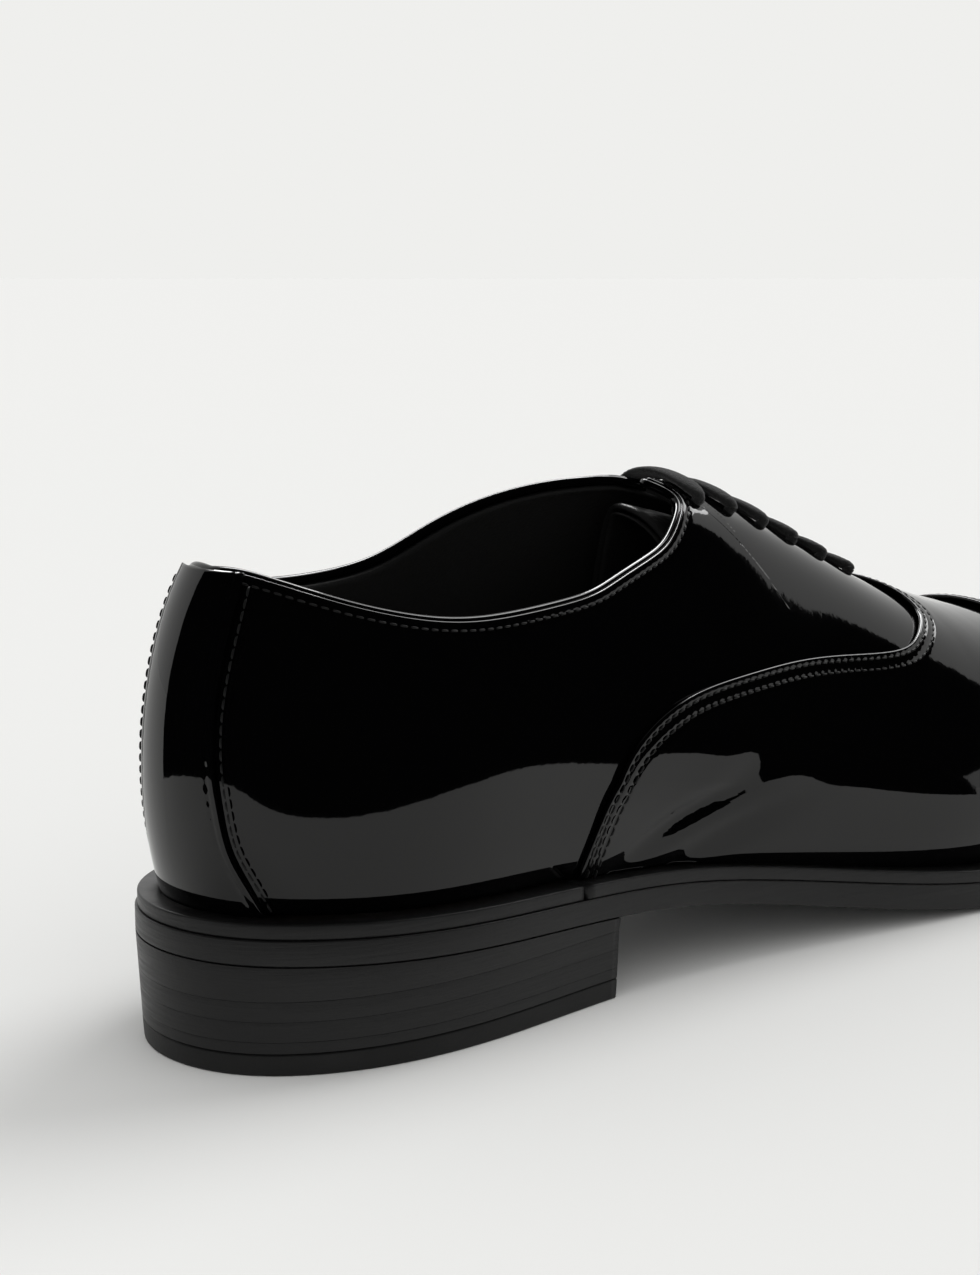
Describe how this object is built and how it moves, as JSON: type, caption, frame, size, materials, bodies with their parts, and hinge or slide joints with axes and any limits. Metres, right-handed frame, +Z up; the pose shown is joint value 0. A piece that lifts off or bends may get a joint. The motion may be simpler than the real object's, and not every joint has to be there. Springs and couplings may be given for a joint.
{
  "type": "leather oxford shoe",
  "caption": "Right-foot closed-laced oxford shoe with toe cap, back strip, hinged tongue, welted sole and stacked heel.",
  "frame": {"origin": "on the ground plane, under the middle of the outsole's length and width", "axes": "+X to the toe, +Y to the inner (medial) side, +Z up"},
  "size_m": [0.3016, 0.0976, 0.1024],
  "materials": {
    "patent_leather": "black patent, mirror gloss",
    "sole_edge_leather": "black, satin burnished edge",
    "top_piece_rubber": "matt black",
    "lining_leather": "matt black",
    "tongue_leather": "black, soft satin",
    "fibre_board": "raw leatherboard",
    "cork": "pressed cork",
    "steel": "brushed",
    "brass": "satin",
    "lace_cord": "matt woven cotton"
  },
  "bodies": {
    "shoe": {"back_strip": "patent_leather", "cork_filler": "cork", "eyelet_lateral_1": "brass", "eyelet_lateral_2": "brass", "eyelet_lateral_3": "brass", "eyelet_lateral_4": "brass", "eyelet_lateral_5": "brass", "eyelet_lateral_6": "brass", "eyelet_medial_1": "brass", "eyelet_medial_2": "brass", "eyelet_medial_3": "brass", "eyelet_medial_4": "brass", "eyelet_medial_5": "brass", "eyelet_medial_6": "brass", "facing_stay_lateral": "fibre_board", "facing_stay_medial": "fibre_board", "heel_base_lift": "sole_edge_leather", "heel_counter": "fibre_board", "heel_grip_lining": "lining_leather", "heel_lift_1": "sole_edge_leather", "heel_lift_2": "sole_edge_leather", "heel_nail_1": "brass", "heel_nail_2": "brass", "heel_nail_3": "brass", "heel_nail_4": "brass", "heel_nail_5": "brass", "heel_nail_6": "brass", "heel_rand": "sole_edge_leather", "heel_top_piece": "top_piece_rubber", "heel_wedge_lift": "sole_edge_leather", "insole_board": "fibre_board", "lace": "lace_cord", "outsole": "sole_edge_leather", "quarter_lateral": "patent_leather", "quarter_lining_lateral": "lining_leather", "quarter_lining_medial": "lining_leather", "quarter_medial": "patent_leather", "sock_lining": "lining_leather", "steel_shank": "steel", "toe_cap": "patent_leather", "toe_puff": "fibre_board", "topline_bead": "patent_leather", "vamp": "patent_leather", "vamp_lining": "lining_leather", "welt": "sole_edge_leather"},
    "tongue": {"tongue": "tongue_leather", "tongue_lining": "lining_leather"}
  },
  "joints": [
    {"name": "tongue_swing", "type": "hinge", "parent": "shoe", "child": "tongue", "pos_m": [0.0468, 0, 0.0615], "axis": [0, -1, 0], "range_deg": [0, 12], "stiffness_Nm_per_rad": 0.05, "springref_deg": -8.59}
  ]
}
